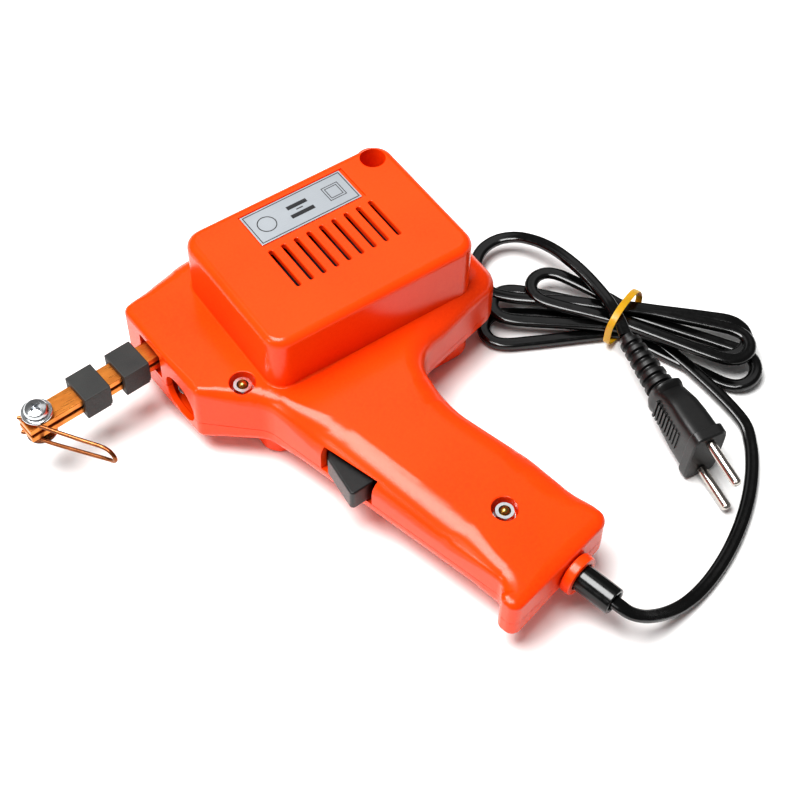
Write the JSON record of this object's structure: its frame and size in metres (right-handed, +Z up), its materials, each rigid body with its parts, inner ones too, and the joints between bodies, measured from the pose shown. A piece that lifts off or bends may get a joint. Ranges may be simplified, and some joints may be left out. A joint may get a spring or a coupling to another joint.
{
  "type": "transformer soldering gun",
  "caption": "Pistol-shaped electric soldering gun with a boxed transformer, twin flat bars, a looped wire tip, a trigger and a coiled mains cord with its plug.",
  "frame": {"origin": "on the floor under the centre of the gun's footprint, cord left out", "axes": "+Z up through the transformer box as the gun lies on its side, -X out of the nose, -Y down the handle"},
  "size_m": [0.2752, 0.2269, 0.066],
  "materials": {
    "orange_case": "glossy moulded plastic",
    "foil": "satin foil with a thin dark border",
    "brass": "turned",
    "zinc": "bright zinc plate",
    "laminations": "varnished sheet steel",
    "bobbin_card": "matt",
    "winding": "enamelled copper wire",
    "copper": "drawn copper",
    "black_plastic": "matt, lightly textured",
    "glass": "clear",
    "black_rubber": "smooth flexible vinyl",
    "band_rubber": "translucent ochre rubber",
    "brown_vinyl": "smooth",
    "blue_vinyl": "smooth"
  },
  "bodies": {
    "case": {"upper_shell": "orange_case", "lower_shell": "orange_case", "nameplate": "foil", "front_bolt": "brass", "grip_bolt": "brass", "corner_bolt": "brass", "front_nut": "zinc", "front_washer": "zinc", "grip_nut": "zinc", "grip_washer": "zinc", "corner_nut": "zinc", "corner_washer": "zinc", "upper_clamp_washer": "zinc", "lower_clamp_washer": "zinc", "upper_clamp_screw": "zinc", "lower_clamp_screw": "zinc", "trigger_pin": "zinc", "switch_spring": "zinc", "cable_clamp_screw_1": "zinc", "cable_clamp_screw_2": "zinc", "plug_pin_1": "zinc", "plug_pin_2": "zinc", "core_e": "laminations", "core_i": "laminations", "bobbin": "bobbin_card", "cable_clamp": "bobbin_card", "primary_winding": "winding", "upper_bar": "copper", "lower_bar": "copper", "loop_bridge": "copper", "tip_wire": "copper", "front_block": "black_plastic", "rear_block": "black_plastic", "lamp_holder": "black_plastic", "switch_body": "black_plastic", "cable_gland": "orange_case", "lamp_bulb": "glass", "strain_relief": "black_rubber", "cord_to_hank": "black_rubber", "cord_to_plug": "black_rubber", "cord_hank": "black_rubber", "plug_body": "black_rubber", "rubber_band": "band_rubber", "lead_live": "brown_vinyl", "lead_neutral": "blue_vinyl"},
    "trigger": {"trigger": "black_plastic"},
    "plunger": {"switch_plunger": "bobbin_card"}
  },
  "joints": [
    {"name": "trigger_hinge", "type": "hinge", "parent": "case", "child": "trigger", "pos_m": [-0.00227, -0.00769, 0.026], "axis": [0, 0, 1], "range_deg": [0, 12], "stiffness_Nm_per_rad": 0.15},
    {"name": "plunger_slide", "type": "slide", "parent": "case", "child": "plunger", "axis": [1, 0, 0], "range_m": [0, 0.0038]}
  ],
  "couplings": [
    {"joint": "plunger_slide", "follows": "trigger_hinge", "m_per_rad": 0.01718}
  ]
}
